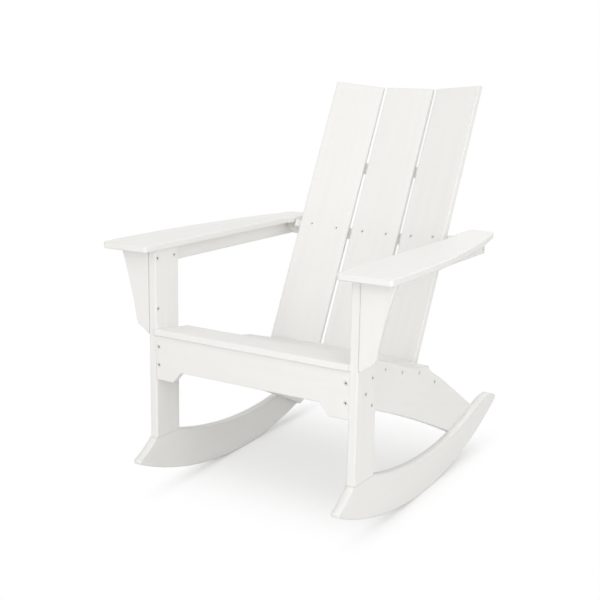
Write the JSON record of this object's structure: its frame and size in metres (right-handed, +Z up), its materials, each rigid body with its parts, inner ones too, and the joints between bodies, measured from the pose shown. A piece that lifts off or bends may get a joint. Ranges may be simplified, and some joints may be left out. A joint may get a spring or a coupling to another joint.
{
  "type": "rocking adirondack chair",
  "caption": "Low rocking adirondack chair of flat white boards with curved rockers, a sloping slatted seat, a tall fanned back and wide curved arms.",
  "frame": {"origin": "on the floor under the middle of the chair's bounding box, the chair at rest on its rockers", "axes": "+Z up, the sitter looks along -Y, +X is the sitter's left"},
  "size_m": [0.78, 0.8984, 0.9744],
  "materials": {
    "plastic_lumber": "satin, fine matte grain",
    "steel": "plain stainless"
  },
  "bodies": {
    "root": {"apron": "plastic_lumber", "apron_screws": "steel", "arm_left": "plastic_lumber", "arm_level_brace": "plastic_lumber", "arm_rail_left": "plastic_lumber", "arm_rail_right": "plastic_lumber", "arm_right": "plastic_lumber", "arm_screws_left": "steel", "arm_screws_right": "steel", "back_slat_left": "plastic_lumber", "back_slat_middle": "plastic_lumber", "back_slat_right": "plastic_lumber", "back_slat_screws": "steel", "bracket_screws_left": "steel", "bracket_screws_right": "steel", "leg_bolts_left": "steel", "leg_bolts_right": "steel", "leg_left": "plastic_lumber", "leg_right": "plastic_lumber", "lower_back_brace": "plastic_lumber", "lower_brace_screws": "steel", "rail_end_screws": "steel", "rocker_lags_left": "steel", "rocker_lags_right": "steel", "rocker_left": "plastic_lumber", "rocker_right": "plastic_lumber", "seat_cleat_left": "plastic_lumber", "seat_cleat_right": "plastic_lumber", "seat_screws_left": "steel", "seat_screws_right": "steel", "seat_slat_1": "plastic_lumber", "seat_slat_2": "plastic_lumber", "seat_slat_3": "plastic_lumber", "seat_slat_4": "plastic_lumber", "side_board_left": "plastic_lumber", "side_board_right": "plastic_lumber", "side_screws_left": "steel", "side_screws_right": "steel", "tail_screws_left": "steel", "tail_screws_right": "steel", "upper_back_brace": "plastic_lumber", "upper_brace_screws": "steel", "wing_bracket_left": "plastic_lumber", "wing_bracket_right": "plastic_lumber"}
  },
  "joints": []
}
